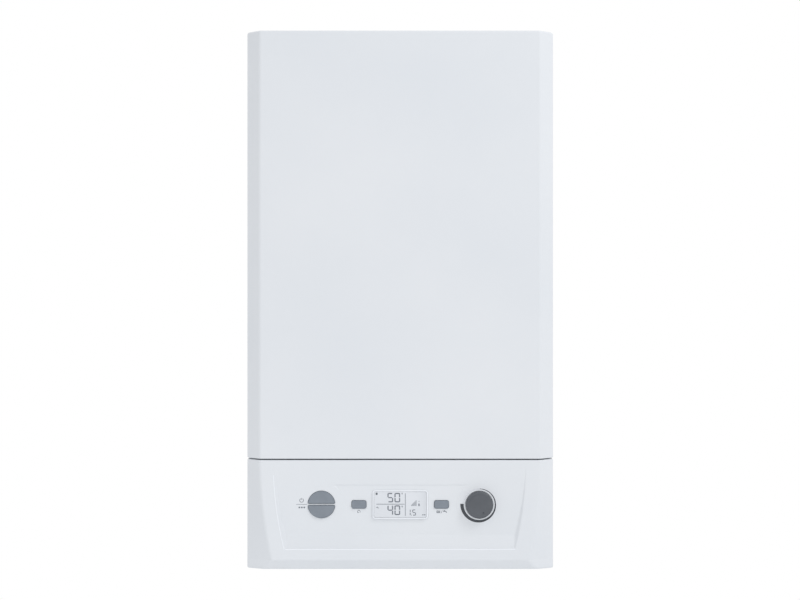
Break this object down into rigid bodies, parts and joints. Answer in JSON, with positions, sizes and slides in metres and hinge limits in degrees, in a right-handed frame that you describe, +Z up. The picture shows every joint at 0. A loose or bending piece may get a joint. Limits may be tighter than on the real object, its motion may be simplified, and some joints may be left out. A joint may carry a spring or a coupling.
{
  "type": "combi boiler",
  "caption": "Wall-hung condensing combi boiler: bevelled white steel cover over burner and pump, with a swing-down control box holding buttons, a display and a rotary knob.",
  "frame": {"origin": "centre of the lower rail's back face, level with the casing's bottom edge, in the plane of the wall", "axes": "+X right as one faces the boiler, +Y into the wall, +Z up"},
  "size_m": [0.4, 0.307, 0.74],
  "materials": {
    "case_white": "cool white satin powder coat",
    "fascia_white": "cool white moulded plastic, satin",
    "galvanised": "galvanised sheet",
    "cast_alloy": "as cast, matt",
    "stainless": "brushed",
    "copper": "drawn copper tube, slightly dulled; density as brass",
    "black_plastic": "moulded, matt",
    "motor_black": "black coated",
    "composite_grey": "glass filled, matt",
    "circuit_board": "solder mask",
    "display_grey": "matt",
    "display_glass": "clear, smooth",
    "button_grey": "mid grey, satin",
    "knob_grey": "dark grey, satin",
    "vessel_red": "red enamel",
    "knob_red": "red, moulded",
    "knob_blue": "blue, moulded",
    "trap_white": "off white, moulded",
    "ceramic_white": "glazed"
  },
  "bodies": {
    "root": {"back_frame": "galvanised", "wall_bracket": "galvanised", "side_panel_left": "case_white", "side_panel_right": "case_white", "top_panel": "case_white", "bottom_plate": "galvanised", "cover_rail": "galvanised", "flue_collar": "cast_alloy", "flue_duct": "stainless", "hinge_bracket_left": "galvanised", "hinge_bracket_right": "galvanised", "hinge_pin_left": "stainless", "hinge_pin_right": "stainless", "exchanger_bracket": "galvanised", "exchanger_shell": "cast_alloy", "exchanger_coil": "cast_alloy", "burner_tube": "stainless", "burner_door": "cast_alloy", "ignition_electrode": "ceramic_white", "fan_housing": "cast_alloy", "fan_motor": "black_plastic", "gas_air_mixer": "cast_alloy", "gas_valve": "cast_alloy", "air_silencer": "black_plastic", "expansion_vessel": "vessel_red", "return_manifold": "composite_grey", "flow_manifold": "composite_grey", "pump_housing": "cast_alloy", "pump_motor": "motor_black", "diverter_motor": "black_plastic", "plate_exchanger": "stainless", "heating_flow_pipe": "copper", "hot_water_pipe": "copper", "gas_pipe": "copper", "cold_water_pipe": "copper", "heating_return_pipe": "copper", "flow_riser": "copper", "return_riser": "copper", "condensate_trap": "trap_white"},
    "cover": {"front_cover": "case_white"},
    "control_box": {"control_fascia": "fascia_white", "control_tray": "black_plastic", "tray_lid": "black_plastic", "main_board": "circuit_board", "display_board": "circuit_board", "lcd_module": "display_grey", "lcd_window": "display_glass", "knob_ring": "fascia_white", "knob_encoder": "stainless"},
    "power_key": {"power_button": "button_grey"},
    "mode_key": {"mode_button": "button_grey"},
    "reset_key": {"reset_button": "button_grey"},
    "select_key": {"select_button": "button_grey"},
    "knob": {"rotary_knob": "knob_grey"},
    "fan_wheel": {"fan_impeller": "black_plastic"},
    "pump_wheel": {"pump_impeller": "black_plastic"},
    "diverter_rod": {"diverter_spindle": "stainless"},
    "safety_cap": {"safety_knob": "knob_red"},
    "filling_cap": {"filling_knob": "knob_blue"}
  },
  "joints": [
    {"name": "cover_pull", "type": "slide", "parent": "root", "child": "cover", "axis": [0, -1, 0], "range_m": [0, 0.15]},
    {"name": "control_box_hinge", "type": "hinge", "parent": "root", "child": "control_box", "pos_m": [0, -0.241, 0.008], "axis": [1, 0, 0], "range_deg": [0, 90]},
    {"name": "power_press", "type": "slide", "parent": "control_box", "child": "power_key", "axis": [0, 1, 0], "range_m": [0, 0.0012], "stiffness_N_per_m": 800},
    {"name": "mode_press", "type": "slide", "parent": "control_box", "child": "mode_key", "axis": [0, 1, 0], "range_m": [0, 0.0012], "stiffness_N_per_m": 800},
    {"name": "reset_press", "type": "slide", "parent": "control_box", "child": "reset_key", "axis": [0, 1, 0], "range_m": [0, 0.0012], "stiffness_N_per_m": 800},
    {"name": "select_press", "type": "slide", "parent": "control_box", "child": "select_key", "axis": [0, 1, 0], "range_m": [0, 0.0012], "stiffness_N_per_m": 800},
    {"name": "knob_turn", "type": "hinge", "parent": "control_box", "child": "knob", "pos_m": [0.1026, -0.3, 0.0845], "axis": [0, 1, 0], "range_deg": [-154, 116]},
    {"name": "fan_spin", "type": "hinge", "parent": "root", "child": "fan_wheel", "pos_m": [0.045, -0.25, 0.2847], "axis": [0, 1, 0], "continuous": true},
    {"name": "pump_spin", "type": "hinge", "parent": "root", "child": "pump_wheel", "pos_m": [0.132, -0.09, 0.118], "axis": [0, 1, 0], "continuous": true},
    {"name": "diverter_slide", "type": "slide", "parent": "root", "child": "diverter_rod", "axis": [0, 0, -1], "range_m": [0, 0.006], "stiffness_N_per_m": 1000, "springref_m": -0.0008},
    {"name": "safety_turn", "type": "hinge", "parent": "root", "child": "safety_cap", "pos_m": [0.09, -0.18, 0.042], "axis": [0, 1, 0], "range_deg": [-90, 0]},
    {"name": "filling_turn", "type": "hinge", "parent": "root", "child": "filling_cap", "pos_m": [0.098, -0.112, -0.015], "axis": [0, 0, 1], "range_deg": [0, 270]}
  ]
}
